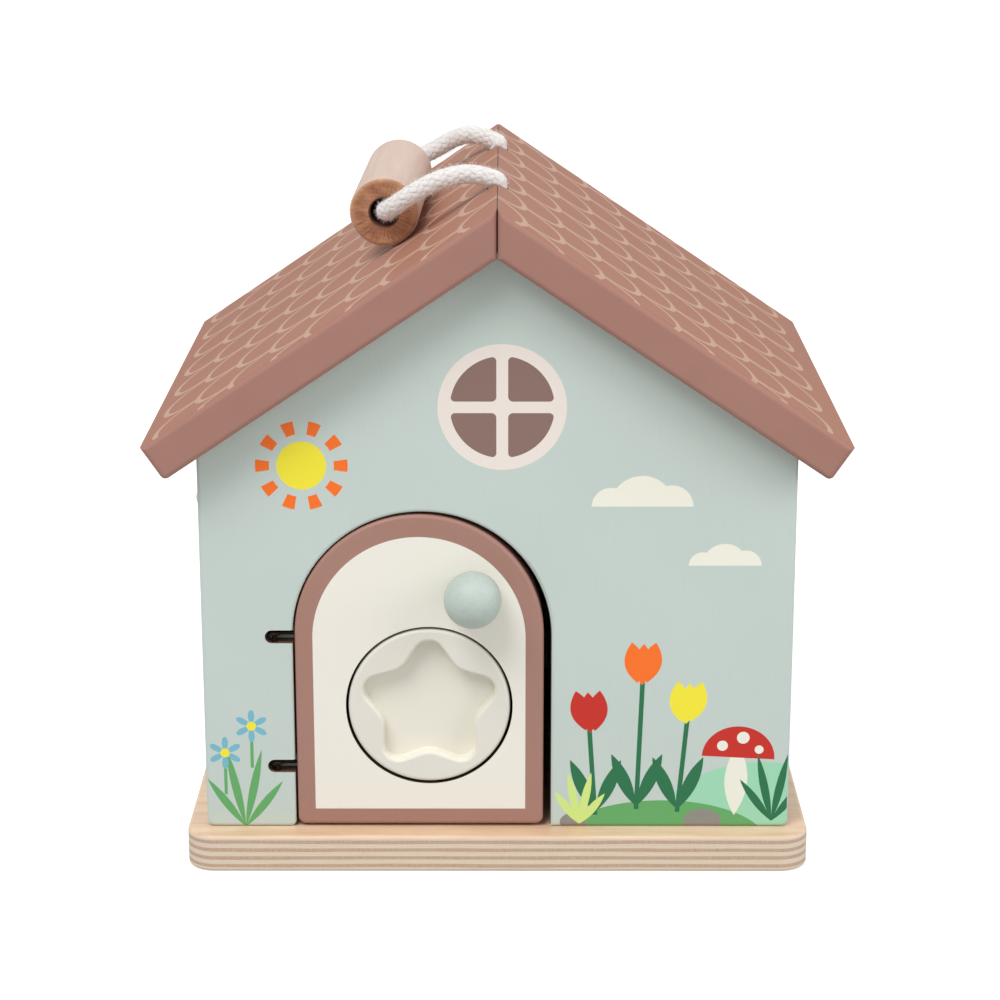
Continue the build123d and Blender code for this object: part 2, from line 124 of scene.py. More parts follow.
class Finish(Work):
    """A finish for a piece, with places on the piece in millimetres."""

    def __init__(self, name, **fixed):
        self.material = bpy.data.materials.new(name)
        self.material.use_nodes = True
        super().__init__(self.material.node_tree)
        self.shader = self.tree.nodes["Principled BSDF"]
        for key, value in fixed.items():
            self.shader.inputs[key.replace("_", " ")].default_value = value
        spot = self.node("ShaderNodeTexCoord", out="Object")
        self.mm = self.vector("SCALE", spot, Scale=1000.0)
        self.x = self.node("ShaderNodeSeparateXYZ", {}, {0: self.mm})
        self.y, self.z = self.x["Y"], self.x["Z"]
        self.facing = self.node("ShaderNodeSeparateXYZ", {}, {0: spot["Normal"]})

    def vector(self, operation, one, other=(0.0, 0.0, 0.0), out=0, **feeds):
        return self.node("ShaderNodeVectorMath", {"operation": operation}, {0: one, 1: other, **feeds}, out)

    def length(self, vector):
        return self.vector("LENGTH", vector, out="Value")

    def joined(self, x, y, z):
        return self.node("ShaderNodeCombineXYZ", {}, {0: x, 1: y, 2: z})

    def mix(self, share, one, other):
        """One colour where share is 0, the other where it is 1."""
        return self.node("ShaderNodeMix", {"data_type": "RGBA"}, {0: share, 6: one, 7: other}, 2)

    def cloud(self, size, detail=2.0, start=(0.0, 0.0, 0.0), spot=None):
        """A soft irregular pattern from 0 to 1, with features of this size in mm along each axis."""
        across = self.vector("ADD", self.mm if spot is None else spot, start)
        across = self.vector("DIVIDE", across, size)
        return self.node("ShaderNodeTexNoise", {}, {"Vector": across, "Scale": 1.0, "Detail": detail})

    def span(self, value, low, high, to_low=0.0, to_high=1.0):
        """Value from low to high, brought to the other range and held there."""
        return self.node(
            "ShaderNodeMapRange", {}, {"Value": value, 1: low, 2: high, 3: to_low, 4: to_high}
        )

    def lay(self, colour, roughness, height=None, depth=0.05):
        """Puts the colour, the roughness and a relief of that depth in mm on the piece."""
        for key, value in (("Base Color", colour), ("Roughness", roughness)):
            self.tree.links.new(value.socket, self.shader.inputs[key])
        if height is not None:
            bump = self.node("ShaderNodeBump", {}, {"Strength": 1.0, "Distance": depth / 1000, "Height": height})
            self.tree.links.new(bump.socket, self.shader.inputs["Normal"])


# The room round the house: a pale floor that keeps the shade under the base, and a white wall of light. Both
# are white to the eye, and to what metal mirrors.
FLOOR_DROP, FLOOR_SHADE, FLOOR_GLOW = 0.0002, 0.55, 0.72
FLOOR_CORNERS = ((-6, -3), (6, -3), (6, 9), (-6, 9))
room = bpy.data.worlds.new("room")
room.use_nodes = True
bpy.context.scene.world = room
air = Work(room.node_tree)
sky = room.node_tree.nodes["Background"]
rays = air.node("ShaderNodeLightPath")
looked_at = rays["Is Camera Ray"] | rays["Is Glossy Ray"] | rays["Is Transmission Ray"]
room.node_tree.links.new((looked_at * (1 - DAYLIGHT) + DAYLIGHT).socket, sky.inputs["Strength"])
sky.inputs["Color"].default_value = (1.0, 1.0, 1.0, 1.0)
floor_mesh = bpy.data.meshes.new("floor")
floor_mesh.from_pydata([(x, y, -FLOOR_DROP) for x, y in FLOOR_CORNERS], [], [(0, 1, 2, 3)])
floor = bpy.data.objects.new("floor", floor_mesh)
bpy.context.scene.collection.objects.link(floor)
floor_finish = Finish("pale_floor", Roughness=0.9, Emission_Color=(1.0, 1.0, 1.0, 1.0))
floor_mesh.materials.append(floor_finish.material)
floor_finish.shader.inputs["Base Color"].default_value = (FLOOR_SHADE,) * 3 + (1.0,)
seen = floor_finish.node("ShaderNodeLightPath", out="Is Camera Ray")
glow = floor_finish.node("ShaderNodeEmission", {}, {"Color": (1.0, 1.0, 1.0, 1.0), "Strength": seen * FLOOR_GLOW})
both = floor_finish.node("ShaderNodeAddShader", {}, {0: glow})
floor_finish.tree.links.new(floor_finish.shader.outputs[0], both.socket.node.inputs[1])
floor_finish.tree.links.new(both.socket, floor_finish.tree.nodes["Material Output"].inputs["Surface"])

# The base plate. Nine-ply birch board with rounded corners and a clear finish: orange-tan face veneers with
# the grain along the front, and thin layers on the edge, by turns pale and darker.
PLY = 12.0 / 9
DARK_LAYER_HALF, LAYER_LINE_HALF = 0.2, 0.025
VENEER, VENEER_PORE = ("E5C8AA", "D5B292", "EBD2B5"), "C9A880"
PALE_LAYER, DARK_LAYER, LAYER_LINE = ("E4D3C0", "D9C5B0"), ("CCAE94", "B7987E"), "C0A389"
birch = Finish("clear_birch_board", Coat_Weight=0.25, Coat_Roughness=0.3)
figure = birch.cloud((34.0, 4.2, 30.0), 3.0)
fibre = birch.cloud((16.0, 0.28, 16.0), 2.0, (7.0, 0.0, 0.0))
face = birch.mix(birch.span(figure, 0.35, 0.68), shade(VENEER[0]), shade(VENEER[1]))
face = birch.mix(birch.span(fibre, 0.52, 0.8) * 0.5, face, shade(VENEER[2]))
pores = birch.span(birch.cloud((5.0, 0.16, 6.0), 1.0, (0.0, 3.0, 0.0)), 0.66, 0.74)
face = birch.mix(pores * 0.35, face, shade(VENEER_PORE))
wavy = birch.z + (birch.cloud((26.0, 26.0, 3.0), 1.0) - 0.5) * 0.5
layer = wavy / PLY
from_dark = abs((layer * 0.5) % 1.0 - 0.75)
crosswise = from_dark < DARK_LAYER_HALF
along = birch.cloud((9.0, 9.0, 0.16), 2.0)
short = birch.cloud((0.22, 0.22, 0.9), 2.0)
edge = birch.mix(birch.span(along, 0.3, 0.7), shade(PALE_LAYER[0]), shade(PALE_LAYER[1]))
cross_edge = birch.mix(birch.span(short, 0.35, 0.7), shade(DARK_LAYER[0]), shade(DARK_LAYER[1]))
edge = birch.mix(crosswise, edge, cross_edge)
near_glue = abs(from_dark - DARK_LAYER_HALF) < LAYER_LINE_HALF
edge = birch.mix(near_glue * 0.55, edge, shade(LAYER_LINE))
on_edge = abs(birch.facing["Z"]) < 0.5
birch.lay(
    birch.mix(on_edge, face, edge),
    0.42 + 0.12 * fibre + 0.1 * on_edge,
    fibre * 0.5 + near_glue * -0.4 + short * crosswise * on_edge * 0.5,
    0.035,
)


def dress(node, finish):
    """Gives a piece of the frame its finish."""
    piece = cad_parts[node]
    if not piece.material_slots:
        piece.data.materials.append(None)
    for place in piece.material_slots:
        place.material = finish.material


dress("base_plate", birch)


class Maker(Work):
    """A Geometry Nodes recipe with named sizes, which turns a line or a set of points into one plain mesh."""

    def __init__(self, name, numbers, vectors=()):
        self.tree = bpy.data.node_groups.new(name, "GeometryNodeTree")
        kinds = {"Places": "NodeSocketGeometry", "Finish": "NodeSocketMaterial"}
        kinds.update({n: "NodeSocketFloat" for n in numbers})
        kinds.update({n: "NodeSocketVector" for n in vectors})
        for key, kind in kinds.items():
            self.tree.interface.new_socket(key, in_out="INPUT", socket_type=kind)
        self.tree.interface.new_socket("Made", in_out="OUTPUT", socket_type="NodeSocketGeometry")
        self.given = self.node("NodeGroupInput")

    def triple(self, x, y, z):
        return self.node("ShaderNodeCombineXYZ", {}, {0: x, 1: y, 2: z})

    def moved(self, shape, **how):
        return self.node("GeometryNodeTransform", {}, {"Geometry": shape, **how})

    def close(self, shape):
        real = self.node("GeometryNodeRealizeInstances", {}, {0: shape})
        dressed = self.node("GeometryNodeSetMaterial", {}, {0: real, "Material": self.given["Finish"]})
        end = self.tree.nodes.new("NodeGroupOutput")
        self.tree.links.new(dressed.socket, end.inputs[0])

    def make(self, name, finish, start, **sizes):
        """The recipe's mesh for a set of points, or for a finished piece's mesh, as a piece at the origin."""
        if isinstance(start, list):
            line = bpy.data.meshes.new(name)
            line.from_pydata([tuple(p) for p in start], [(i, i + 1) for i in range(len(start) - 1)], [])
            start = line
        carrier = bpy.data.objects.new(name + "_places", start)
        bpy.context.scene.collection.objects.link(carrier)
        modifier = carrier.modifiers.new("made", "NODES")
        modifier.node_group = self.tree
        sizes["Finish"] = finish.material
        for socket in self.tree.interface.items_tree:
            if socket.in_out == "INPUT" and socket.name.replace(" ", "_") in sizes:
                modifier[socket.identifier] = sizes[socket.name.replace(" ", "_")]
        bpy.context.view_layer.update()
        ready = carrier.evaluated_get(bpy.context.evaluated_depsgraph_get())
        mesh = bpy.data.meshes.new_from_object(ready)
        carrier.modifiers.remove(modifier)
        bpy.data.objects.remove(carrier)
        mesh.name = name
        made = bpy.data.objects.new(name, mesh)
        bpy.context.scene.collection.objects.link(made)
        return made


# The screws. Zinc-plated steel with a cross recess. Eight countersunk ones go up through the base into the
# walls' lower edges and sit flush in its underside; the door's ones are driven from inside the house.
zinc = Finish("zinc_plated_steel", Metallic=1.0)
patches = zinc.cloud((1.8, 1.8, 1.8), 3.0)
scuff = zinc.cloud((0.15, 0.15, 1.2), 2.0)
zinc.lay(
    zinc.mix(zinc.span(patches, 0.3, 0.7), shade("C3C4C6"), shade("A8A9AC")),
    0.28 + 0.18 * patches + 0.08 * scuff,
    scuff,
    0.01,
)
screw = Maker(
    "screw",
    ("Head Radius", "Neck Radius", "Head Height", "Crown", "Shank Radius", "Shank Length", "Pitch"),
    ("Facing",),
)
given = screw.given
head = screw.node(
    "GeometryNodeMeshCone",
    {},
    {
        "Vertices": 40,
        "Radius Top": given["Head Radius"],
        "Radius Bottom": given["Neck Radius"],
        "Depth": given["Head Height"],
    },
)
head = screw.moved(head, Translation=screw.triple(0.0, 0.0, given["Head Height"] * -1.0))
ball = screw.node("GeometryNodeMeshUVSphere", {}, {"Segments": 40, "Rings": 60, "Radius": given["Crown"]})
ball = screw.moved(ball, Translation=screw.triple(0.0, 0.0, given["Crown"] * -1.0))
head = screw.node("GeometryNodeMeshBoolean", {"operation": "INTERSECT", "solver": "EXACT"}, {1: [head, ball]})
long_way, across_way = given["Head Radius"] * 1.15, given["Head Radius"] * 0.27
deep = given["Head Height"] * 1.1
slots = [
    screw.node("GeometryNodeMeshCube", {}, {"Size": screw.triple(a, b, deep)})
    for a, b in ((long_way, across_way), (across_way, long_way))
]
head = screw.node("GeometryNodeMeshBoolean", {"operation": "DIFFERENCE", "solver": "EXACT"}, {0: head, 1: slots})
shank = screw.node(
    "GeometryNodeMeshCone",
    {},
    {
        "Vertices": 24,
        "Radius Top": given["Shank Radius"] * 0.74,
        "Radius Bottom": given["Shank Radius"] * 0.35,
        "Depth": given["Shank Length"],
    },
)
low = screw.triple(0.0, 0.0, (given["Shank Length"] + given["Head Height"] * 0.9) * -1.0)
shank = screw.moved(shank, Translation=low)
helix = screw.node(
    "GeometryNodeCurveSpiral",
    {},
    {
        "Resolution": 14,
        "Rotations": given["Shank Length"] * 0.9 / given["Pitch"],
        "Start Radius": given["Shank Radius"] * 0.42,
        "End Radius": given["Shank Radius"] * 0.72,
        "Height": given["Shank Length"] * 0.9,
    },
)
ridge = screw.node("GeometryNodeCurvePrimitiveCircle", {}, {"Resolution": 4, "Radius": given["Shank Radius"] * 0.24})
thread = screw.node("GeometryNodeCurveToMesh", {}, {"Curve": helix, "Profile Curve": ridge})
thread = screw.moved(thread, Translation=low)
whole = screw.node("GeometryNodeJoinGeometry", {}, {0: [head, shank, thread]})
aim = screw.node("FunctionNodeAlignRotationToVector", {"axis": "Z"}, {"Vector": given["Facing"]})
screw.close(screw.node("GeometryNodeInstanceOnPoints", {}, {"Points": given, "Instance": whole, "Rotation": aim}))


def put(piece, body, slot, *nodes):
    """Fixes a finished piece to a part of the house that moves as one, in the place of the frame's own nodes."""
    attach(piece, body)
    if nodes:
        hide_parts(*nodes)
    return piece


def soften(piece, degrees=35.0):
    """Smooth surfaces with crisp edges where two faces meet at more than that angle."""
    mesh = piece.data
    mesh.shade_smooth()
    mesh.set_sharp_from_angle(angle=math.radians(degrees))
    return piece


base_screw_places = [(x, y) for x in (-78.45, 78.45) for y in (-75.0, 75.0)]
base_screw_places += [(25.8, -75.0), (25.8, 75.0), (-86.25, 0.0), (86.25, 0.0)]
base_screws = screw.make(
    "base_screws_driven",
    zinc,
    [(x / 1000, y / 1000, 0.0004) for x, y in base_screw_places],
    Head_Radius=0.00375,
    Neck_Radius=0.0015,
    Head_Height=0.0026,
    Crown=0.06,
    Shank_Radius=0.00175,
    Shank_Length=0.031,
    Pitch=0.0016,
    Facing=(0.0, 0.0, -1.0),
)
put(soften(base_screws), "house", "steel", "base_screws")

# The walls. Birch board with a satin coat of pale grey-green, which lets a trace of the upright grain
# through. The side walls stand between the gables on glued pins.
WALL, WALL_DEEP, WALL_PALE = "C4D1CA", "BAC7C0", "CBD7D1"


def painted(name, colour, deep, pale, grain, trace=0.22, **fixed):
    """Satin paint on smooth board. Grain is the fibres' size in mm along each axis, and trace how far they show."""
    made = Finish(name, **{"Specular_IOR_Level": 0.3, **fixed})
    broad = made.cloud((38.0, 38.0, 38.0), 2.0)
    fibres = made.cloud(grain, 2.0)
    peel = made.cloud((0.9, 0.9, 0.9), 1.0)
    made.colour = made.mix(made.span(broad, 0.3, 0.7) * 0.3, shade(colour), shade(pale))
    made.colour = made.mix(made.span(fibres, 0.5, 0.85) * trace, made.colour, shade(deep))
    made.roughness = 0.40 + 0.10 * broad + 0.07 * fibres
    made.height = fibres * 0.65 + peel * 0.35
    return made


wall = painted("satin_grey_green", WALL, WALL_DEEP, WALL_PALE, (0.6, 0.6, 17.0))
wall.lay(wall.colour, wall.roughness, wall.height, 0.03)
for node in ("back_wall", "left_wall", "right_wall"):
    dress(node, wall)

# The front wall. The same board and paint, with the doorway and the two hinge slots cut by laser, which leaves
# their edges brown; that brown is painted darker than the scorch, as painted shade in the slots and the door's
# gap. Printing on its front face: a round window under the gable, and a small garden with tulips, a toadstool
# and grass, a sun and two clouds.
PRINT_FACE = -80.6
WINDOW_PLACE, WINDOW_RADIUS, PANE_RADIUS, BAR_HALF, PANE_CORNER = (1.5, 149.4), 19.7, 15.96, 1.8, 1.5
WINDOW_FRAME, WINDOW_PANE = "EDE3DA", "8A6F67"
CUT_LEFT, CUT_RIGHT, CUT_FOOT, CUT_TOP, CUT_FRONT = -73.2, 17.4, 12.6, 117.5, -80.4
# The laser scorch on the cut edges; its deeper tone is also painted shade.
SCORCH, SCORCH_DEEP_SHADE = "87624F", "4A342A"
front = painted("printed_grey_green", WALL, WALL_DEEP, WALL_PALE, (0.6, 0.6, 17.0))


def motif(finish, form, x, z, half_wide, half_high, lean=0.0):
    """The mask of a printed form on the gable: an oval, a dome, a leaf, a bar, a bloom or a ring of rays."""
    spot = finish.node(
        "ShaderNodeMapping",
        {"vector_type": "TEXTURE"},
        {
            "Vector": finish.mm,
            "Location": (x, 0.0, z),
            "Rotation": (0.0, math.radians(lean), 0.0),
            "Scale": (half_wide, 1e6, half_high),
        },
    )
    across = finish.node("ShaderNodeSeparateXYZ", {}, {0: spot})
    up = across["Z"]
    if form == "leaf":
        return abs(across) < 1 - up * up
    if form == "bar":
        return (abs(across) | abs(up)) < 1
    out = finish.length(spot)
    if form == "dome":
        return (out < 1) & (up > 0)
    if form == "oval":
        return out < 1
    bearing = up.of("ARCTAN2", across)
    if form == "bloom":
        return out < abs((bearing * 3).of("COSINE"))
    return (out < 1) & (out > 0.7) & ((bearing * 10).of("COSINE") > 0.15)


GREEN, MINT, FIR, LIME, CHALK = "66AB68", "A0DAB8", "2C734C", "D3EB87", "F0EFE0"
RED, ORANGE, YELLOW, BLUE, STONE = "C93126", "FB7526", "F6E83C", "79BACD", "8F8D87"
HILLS = [("oval", 84, 10, 34, 24, 0, MINT), ("oval", 52, 6, 34, 15, 0, GREEN)]
TULIPS = ((31, 16, 47, -4, RED), (44, 18, 63, 2, ORANGE), (57, 17, 50, 5, YELLOW))
TUFTS = ((-80, 12, 15, GREEN), (26, 13, 10, LIME), (87, 14, 13, FIR))
printed = [("oval", -60, 131, 7.6, 7.6, 0, YELLOW), ("rays", -60, 131, 14.2, 14.2, 0, ORANGE)]
for x, z, size in ((44, 118, 1.0), (70, 99, 0.72)):
    for dx, r in ((-9.0, 6.0), (0.5, 9.8), (9.5, 6.8)):
        printed.append(("dome", x + dx * size, z, r * size, r * size, 0, CHALK))
printed += HILLS
for x, foot, top, lean, tint in TULIPS:
    tip = x + (top - foot) * math.tan(math.radians(lean))
    printed.append(("bar", (x + tip) / 2, (foot + top) / 2, 0.75, (top - foot) / 2, lean, FIR))
    printed += [("leaf", x + side * 4.2, foot + 10, 2.1, 9.5, side * 24, FIR) for side in (-1, 1)]
    printed += [("leaf", tip + side * 2.6, top + 4.2, 3.2, 6.8, lean + side * 10, tint) for side in (-1, 1)]
    printed.append(("leaf", tip, top + 3.6, 3.0, 6.8, lean, tint))
printed += [
    ("leaf", 75.5, 28, 3.6, 12, 2, CHALK),
    ("dome", 76, 35.5, 11.5, 10.5, 3, RED),
    ("oval", 71, 39.5, 1.7, 1.7, 0, CHALK),
    ("oval", 77.5, 42.2, 2.0, 2.0, 0, CHALK),
    ("oval", 82.6, 38.2, 1.4, 1.4, 0, CHALK),
    ("oval", 24, 13.5, 4.2, 3.2, 0, STONE),
    ("oval", 65, 14, 6, 4, 0, STONE),
]
for x, z, high, tint in TUFTS:
    for lean in (-36, -12, 12, 38):
        a = math.radians(lean)
        reach = high * (1.0 - abs(lean) / 110)
        printed.append(("leaf", x + reach * math.sin(a), z + reach * math.cos(a), 1.3, reach, lean, tint))
for x, z in ((-86, 37), (-77.5, 46)):
    printed += [("bar", x, z - 7, 0.5, 7, 0, GREEN), ("bloom", x, z, 5.4, 5.4, 30, BLUE)]
    printed.append(("oval", x, z, 1.5, 1.5, 0, YELLOW))
on_face = front.y < PRINT_FACE
ink = front.colour
for form, x, z, half_wide, half_high, lean, tint in printed:
    ink = front.mix(motif(front, form, x, z, half_wide, half_high, lean) & on_face, ink, shade(tint))
from_middle = front.vector("SUBTRACT", front.mm, (WINDOW_PLACE[0], 0.0, WINDOW_PLACE[1]))
from_middle = front.vector("MULTIPLY", from_middle, (1.0, 0.0, 1.0))
out = front.length(from_middle)
sides = front.node("ShaderNodeSeparateXYZ", {}, {0: from_middle})
inset = front.joined(
    out - PANE_RADIUS + PANE_CORNER,
    BAR_HALF + PANE_CORNER - abs(sides),
    BAR_HALF + PANE_CORNER - abs(sides["Z"]),
)
inset = front.vector("MAXIMUM", inset)
ink = front.mix((out < WINDOW_RADIUS) & on_face, ink, shade(WINDOW_FRAME))
ink = front.mix((front.length(inset) < PANE_CORNER) & on_face, ink, shade(WINDOW_PANE))
# Cut edges of the doorway and slots: laser scorch, darkened as painted shade in the slots and the gap.
scorched_and_shaded = (abs(front.facing["Y"]) < 0.6) & (front.z < CUT_TOP) & (front.z > CUT_FOOT)
scorched_and_shaded = scorched_and_shaded & (front.x > CUT_LEFT) & (front.x < CUT_RIGHT) & (front.y > CUT_FRONT)
burn_and_shade = front.mix(front.cloud((3.0, 0.7, 3.0)), shade(SCORCH), shade(SCORCH_DEEP_SHADE))
ink = front.mix(scorched_and_shaded, ink, burn_and_shade)
front.lay(ink, front.roughness, front.height, 0.03)
dress("front_wall", front)

# The pins. Turned beech, pressed with glue into the ends of the side walls and into the gables' slopes, and
# out of sight once the house is closed.
BEECH = ("E0C7B8", "D3B7A5", "EAD6C8")
pin_wood = Finish("plain_beech")
pin_fibre = pin_wood.cloud((0.5, 9.0, 9.0), 2.0)
pin_wood.lay(pin_wood.mix(pin_fibre, shade(BEECH[0]), shade(BEECH[1])), 0.6 + 0.1 * pin_fibre, pin_fibre, 0.03)
dress("wall_dowels", pin_wood)
dress("roof_dowels", pin_wood)

# The roof. Two boards that meet in a mitre at the ridge, painted red-brown all over; their upper faces are a
# redder, darker brown, painted shade that offsets the stronger light and sheen on them. Rows of fish scales
# are printed on their upper faces in a paler shade, from the ridge to just above the eaves, a little out of
# square with the boards and a little higher on the right one.
RIDGE_HEIGHT, ROOF_SLOPE = 212.0, math.radians(34)
PRINT_LEAN, RIGHT_PRINT_RAISED, SIDE_LINE, FOOT_LINE, UPPER_FACE = 0.6, 3.4, 0.122, 0.030, 0.86
LAST_ROW, ROW, SCALE_WIDTH, FIRST_SCALE, SCALE_ROUND = 125.7, 13.9, 27.9, -87.3, 2.3
roof = painted("satin_red_brown", "A57B6F", "987064", "AB8276", (9.0, 0.55, 9.0), Specular_IOR_Level=0.03)
fall = RIDGE_HEIGHT - roof.z
down = abs(roof.x) * math.cos(ROOF_SLOPE) + fall * math.sin(ROOF_SLOPE)
rows_up = (LAST_ROW - (roof.x > 0) * RIGHT_PRINT_RAISED - down) / ROW
odd = math.floor(rows_up) % 2.0
low_in_row = 1 - rows_up % 1.0
scales_back = (roof.y - FIRST_SCALE - rows_up * PRINT_LEAN) / SCALE_WIDTH
aside = abs((scales_back + odd * 0.5 + 0.5) % 1.0 - 0.5) * 2
rim = (aside**SCALE_ROUND + low_in_row**SCALE_ROUND) ** (1 / SCALE_ROUND)
thick = SIDE_LINE + FOOT_LINE * low_in_row * low_in_row
upper = abs(roof.facing) * math.sin(ROOF_SLOPE) + roof.facing["Z"] * math.cos(ROOF_SLOPE) > UPPER_FACE
scale_line = (rim < 1) & (rim > 1 - thick) & (rows_up > 0) & upper
roof_ink = roof.mix(roof.span(roof.cloud((3.0, 3.0, 3.0)), 0.2, 0.8), shade("C4A28E"), shade("BC9A87"))
# Painted shade: the upper faces are mixed towards a redder, darker brown to offset the light and sheen on them.
roof.colour = roof.mix(upper * 0.75, roof.colour, shade("A6745F"))
roof.lay(roof.mix(scale_line, roof.colour, roof_ink), roof.roughness, roof.height, 0.03)
for node in ("roof_board_left", "roof_board_right"):
    dress(node, roof)

# The glue line. A thin sheet of glue fills the mitre at the ridge, and stops short of the boards' ends and of
# the two rope holes. Its dark brown is painted shade of the seam, and the sheet keeps light from showing
# through the gap.
GLUE_HALF, GLUE_LOW, GLUE_HIGH = 0.13, 198.5, 211.5
GLUE_RUNS = ((-86.0, -45.5), (-36.5, 36.5), (45.5, 90.0))
BOX_SIDES = ((0, 1, 3, 2), (4, 6, 7, 5), (0, 4, 5, 1), (2, 3, 7, 6), (0, 2, 6, 4), (1, 5, 7, 3))
# Painted shade: the glue is coloured dark brown to stand for the shade in the mitre.
seam_glue_shade = painted("brown_glue", "6B4A42", "5A3D36", "7A574E", (2.0, 2.0, 2.0))
seam_glue_shade.lay(seam_glue_shade.colour, seam_glue_shade.roughness, seam_glue_shade.height, 0.03)
corners, sides = [], []
for start, end in GLUE_RUNS:
    first = len(corners)
    box = [(x, y, z) for x in (-GLUE_HALF, GLUE_HALF) for y in (start, end) for z in (GLUE_LOW, GLUE_HIGH)]
    corners += [tuple(c / 1000 for c in corner) for corner in box]
    sides += [[first + i for i in side] for side in BOX_SIDES]
seam_glue_shade_mesh = bpy.data.meshes.new("ridge_glue")
seam_glue_shade_mesh.from_pydata(corners, [], sides)
seam_glue_shade_mesh.materials.append(seam_glue_shade.material)
seam_glue_shade_line = bpy.data.objects.new("ridge_glue", seam_glue_shade_mesh)
bpy.context.scene.collection.objects.link(seam_glue_shade_line)
put(seam_glue_shade_line, "house", "roof_paint")

# The hinge. A steel rod stands upright in the front wall, behind two sawn slots, and two steel eyes that are
# screwed into the door's edge turn on it. All three are browned, in a dark brown that is also painted shade of
# the slots, so that they hardly show in them.
# Painted shade: the steel's dark brown stands for the shade in the slots.
browned_shaded = Finish("browned_steel", Metallic=1.0)
tarnish = browned_shaded.cloud((1.2, 1.2, 1.2), 3.0)
browned_shaded.lay(browned_shaded.mix(tarnish, shade("3C2D26"), shade("2A1F1A")), 0.6 + 0.2 * tarnish, tarnish, 0.01)
for node in ("hinge_rod", "hinge_eye_lower", "hinge_eye_upper"):
    dress(node, browned_shaded)

# The peg in the left wall. Turned wood, painted cream, with a domed end, pressed into a blind hole.
cream = painted("satin_cream", "EAE6DA", "DDD8CA", "F0ECE2", (0.5, 0.5, 11.0), 0.1)
cream.lay(cream.colour, cream.roughness, cream.height, 0.03)
dress("side_peg", cream)

# The door. A round-headed board with a red-brown coat on its outer edge and border, and a cream field printed
# on its front face, square at the foot. The wall of its round hole is the laser scorch in its darkest brown,
# as painted shade of the gap round the dial.
FIELD_MIDDLE, FIELD_HALF, FIELD_FOOT, FIELD_SPRING = -24.45, 33.25, 18.15, 74.95
door = painted("satin_door_brown", "A67D70", "997266", "B0887B", (0.5, 0.5, 13.0))
rise = (door.z - FIELD_SPRING) | 0.0
field = (door.length(door.joined(door.x - FIELD_MIDDLE, rise, 0.0)) < FIELD_HALF) & (door.z > FIELD_FOOT)
field = field & (door.y < PRINT_FACE)
field_colour = door.mix(door.span(door.cloud((0.5, 0.5, 13.0)), 0.5, 0.85) * 0.08, shade("EFEBE0"), shade("E5E0D3"))
DIAL_X, DIAL_Z, HOLE_REACH = -21.4, 52.8, 26.9
# Painted shade: the wall of the dial's hole takes the darkest scorch brown, for the shade in the gap.
dial_gap_shade = door.length(door.joined(door.x - DIAL_X, door.z - DIAL_Z, 0.0)) < HOLE_REACH
dial_gap_shade = dial_gap_shade & (abs(door.facing["Y"]) < 0.6) & (door.y > PRINT_FACE)
door.colour = door.mix(dial_gap_shade, door.colour, shade(SCORCH_DEEP_SHADE))
door.lay(door.mix(field, door.colour, field_colour), door.roughness, door.height, 0.03)
dress("door_panel", door)

# The knob. A turned ball with a flat seat, painted pale grey-green, and held by a screw from behind the door.
knob = painted("satin_knob_green", "B6C3BB", "ABBAB1", "BECAC3", (0.5, 8.0, 0.5))
speck = knob.cloud((0.45, 0.45, 0.45), 3.0)
mottle = knob.cloud((2.6, 1.2, 2.6), 3.0, (5.0, 0.0, 0.0))
knob.colour = knob.mix(knob.span(speck, 0.52, 0.72) * 0.35, knob.colour, shade("D3DCD6"))
knob.colour = knob.mix(knob.span(mottle, 0.55, 0.75) * 0.3, knob.colour, shade("A3B5AC"))
knob.lay(knob.colour, knob.roughness - 0.08 + 0.15 * mottle, speck * 0.6 + mottle * 0.4, 0.06)
dress("door_knob", knob)
small_screw = dict(Head_Radius=0.003, Neck_Radius=0.003, Head_Height=0.0015, Crown=0.005, Facing=(0.0, 1.0, 0.0))
small_screw.update(Shank_Radius=0.0015, Pitch=0.0012)
knob_screw = screw.make("knob_screw_driven", zinc, [(-0.0076, -0.0675, 0.0904)], Shank_Length=0.019, **small_screw)
put(soften(knob_screw), "door", "steel", "knob_screw")

# The bridge. An oiled beech lath across the back of the door's round hole, which carries the dial, and is screwed
# to the door above and below it.
lath = Finish("oiled_beech_lath", Coat_Weight=0.08, Coat_Roughness=0.4)
lath_figure = lath.cloud((4.0, 20.0, 30.0), 3.0)
lath_fibre = lath.cloud((0.3, 9.0, 16.0), 2.0)
lath_face = lath.mix(lath.span(lath_figure, 0.35, 0.68), shade(BEECH[0]), shade(BEECH[1]))
lath.lay(lath.mix(lath_fibre * 0.4, lath_face, shade(BEECH[2])), 0.45 + 0.12 * lath_fibre, lath_fibre, 0.035)
dress("dial_bridge", lath)
bridge_screws = screw.make(
    "bridge_screws_driven",
    zinc,
    [(-0.0214, -0.0615, z) for z in (0.0221, 0.0835)],
    Shank_Length=0.0135,
    **small_screw,
)
put(soften(bridge_screws), "door", "steel", "bridge_screws")

# The dial. A cream disc with a five-pointed star sunk in it, which turns on a shouldered screw in the bridge
# with a washer under its head. The star's recess is painted paler, painted light that offsets its shade.
STAR_FRONT, STAR_FLOOR, STAR_REACH = -80.3, -75.0, 22
dial = painted("satin_dial_cream", "E3DFD4", "D9D3C6", "E9E5DB", (0.5, 0.5, 11.0), 0.1)
from_axis = dial.length(dial.joined(dial.x - DIAL_X, dial.z - DIAL_Z, 0.0))
